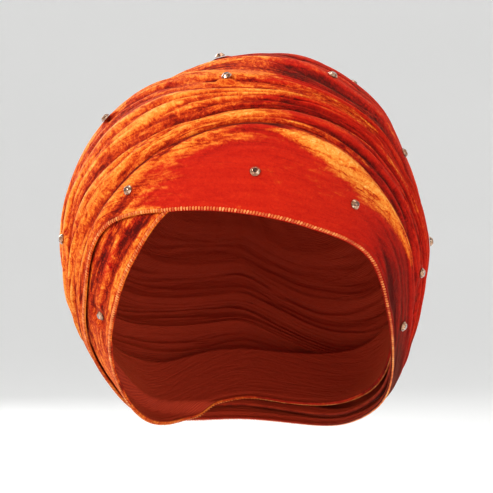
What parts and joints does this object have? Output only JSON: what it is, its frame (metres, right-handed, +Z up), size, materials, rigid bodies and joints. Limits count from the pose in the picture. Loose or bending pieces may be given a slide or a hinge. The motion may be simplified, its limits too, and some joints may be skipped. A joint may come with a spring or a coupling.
{
  "type": "turban headwrap",
  "caption": "Pre-tied crushed-velvet turban headwrap with a pleated crown, a smooth band crossing over an under wrap at the temple, and scattered flat-backed rhinestones",
  "frame": {"origin": "the seat: the inside of the crown straight above the centre of the head, where the top of the head carries the wrap", "axes": "+Z up, -Y towards the face, +X to the right of a viewer who faces the wearer; +Y runs to the back of the head and is the longest direction"},
  "size_m": [0.1904, 0.2179, 0.1917],
  "materials": {
    "crown_velvet": "crushed velvet, orange pile on the crests and deep red in the folds",
    "under_velvet": "crushed velvet, orange with rust-brown mottling",
    "band_velvet": "smooth velvet, bright red, with an overlocked hem",
    "crystal": "faceted clear stone with a foil back"
  },
  "bodies": {
    "root": {"crown_wrap": "crown_velvet", "under_wrap": "under_velvet", "front_band": "band_velvet", "rhinestone_01": "crystal", "rhinestone_02": "crystal", "rhinestone_03": "crystal", "rhinestone_04": "crystal", "rhinestone_05": "crystal", "rhinestone_06": "crystal", "rhinestone_07": "crystal", "rhinestone_08": "crystal", "rhinestone_09": "crystal", "rhinestone_10": "crystal", "rhinestone_11": "crystal", "rhinestone_12": "crystal", "rhinestone_13": "crystal", "rhinestone_14": "crystal", "rhinestone_15": "crystal", "rhinestone_16": "crystal", "rhinestone_17": "crystal", "rhinestone_18": "crystal", "rhinestone_19": "crystal", "rhinestone_20": "crystal", "rhinestone_21": "crystal", "rhinestone_22": "crystal", "rhinestone_23": "crystal", "rhinestone_24": "crystal", "rhinestone_25": "crystal", "rhinestone_26": "crystal"}
  },
  "joints": []
}
